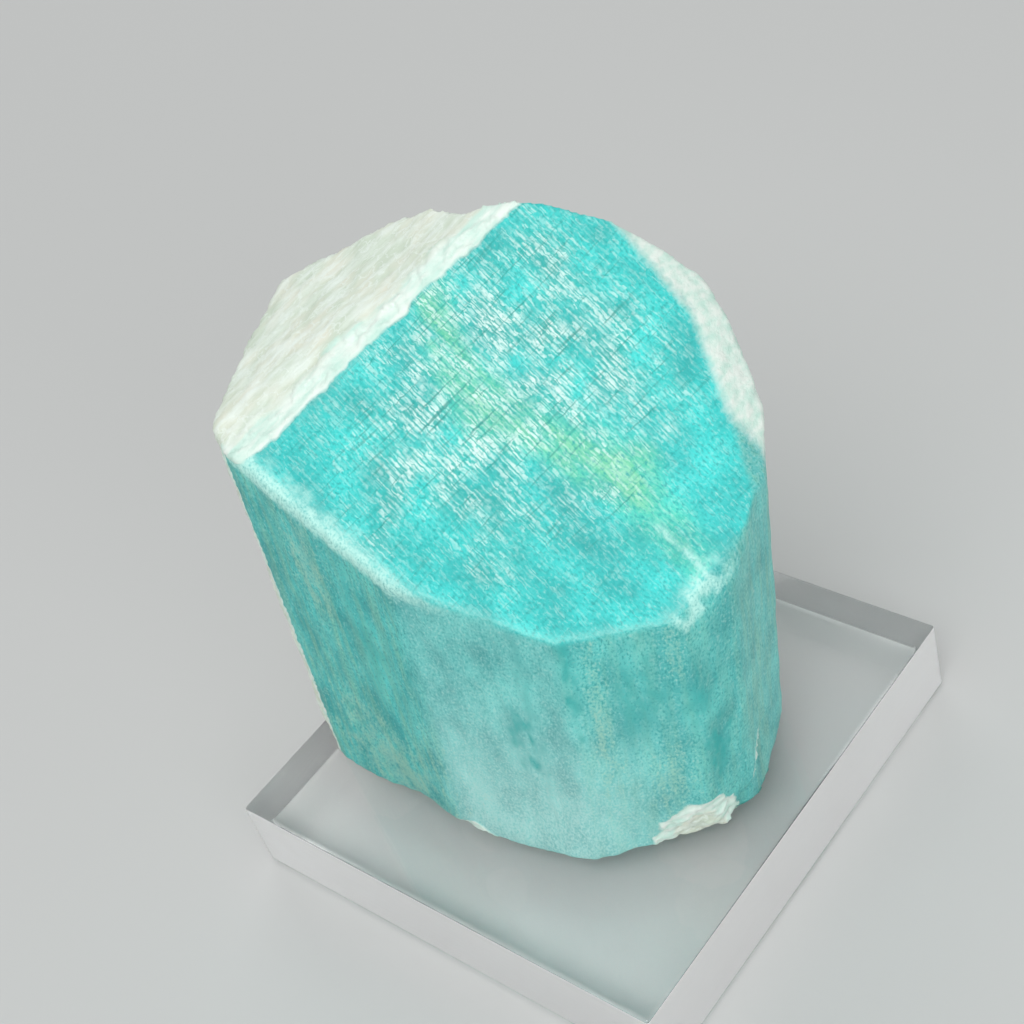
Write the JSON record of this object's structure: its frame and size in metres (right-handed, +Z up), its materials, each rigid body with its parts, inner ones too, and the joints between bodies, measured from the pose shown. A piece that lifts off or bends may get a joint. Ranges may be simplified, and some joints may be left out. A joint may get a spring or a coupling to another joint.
{
  "type": "rough amazonite crystal on display slab",
  "caption": "Stubby blue-green amazonite crystal with a sloping cleavage face and pale broken edges, standing on a small square clear acrylic slab for display.",
  "frame": {"origin": "centre of the slab's underside", "axes": "+Z up, X and Y along the slab's sides; the crystal's sloping top faces -X -Y"},
  "size_m": [0.032, 0.0329, 0.0418],
  "materials": {
    "clear_acrylic": "clear cast sheet, polished top and underside, sawn edges",
    "amazonite": "natural crystal faces, cleavage top and broken edges, not polished"
  },
  "bodies": {
    "root": {"acrylic_slab": "clear_acrylic", "amazonite_crystal": "amazonite"}
  },
  "joints": []
}
